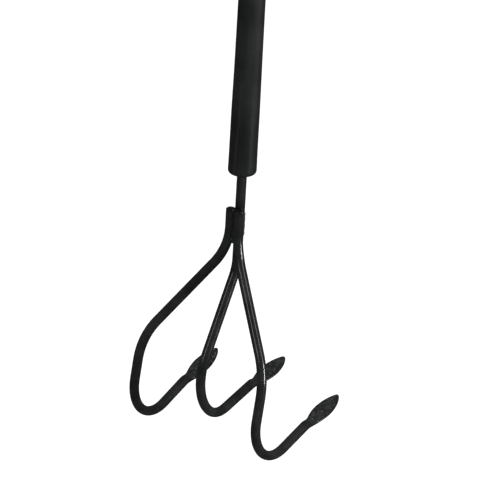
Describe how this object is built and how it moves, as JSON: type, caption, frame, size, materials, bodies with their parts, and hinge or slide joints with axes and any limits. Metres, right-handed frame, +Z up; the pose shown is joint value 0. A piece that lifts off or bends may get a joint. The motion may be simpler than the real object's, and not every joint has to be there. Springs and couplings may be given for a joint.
{
  "type": "hand cultivator",
  "caption": "Hand cultivator with hooked round-bar tines that end in forged leaf blades, welded to a straight shank in a long cylindrical soft grip.",
  "frame": {"origin": "centre of the hang hole that runs through the butt cap from front to back", "axes": "+Z up the handle from the tines to the butt cap, +Y the way the tines hook, +X across the tines"},
  "size_m": [0.1356, 0.1309, 0.5318],
  "materials": {
    "black_enamel": "satin black stoved enamel, a little worn at the blade edges",
    "weld_enamel": "the same enamel over rippled weld",
    "grip_rubber": "matte black, fine moulded grain",
    "tube_steel": "bright drawn tube",
    "bush_nylon": "natural nylon",
    "pin_steel": "blued spring steel",
    "cap_plastic": "fine spark-eroded texture"
  },
  "bodies": {
    "root": {"shank_and_middle_tine": "black_enamel", "left_tine": "black_enamel", "right_tine": "black_enamel", "weld_left": "weld_enamel", "weld_right": "weld_enamel", "weld_rear": "weld_enamel", "weld_crotch": "weld_enamel", "grip_sleeve": "grip_rubber", "handle_tube": "tube_steel", "nose_bush": "bush_nylon", "upper_bush": "bush_nylon", "lower_spring_pin": "pin_steel", "upper_spring_pin": "pin_steel", "butt_cap": "cap_plastic"}
  },
  "joints": []
}
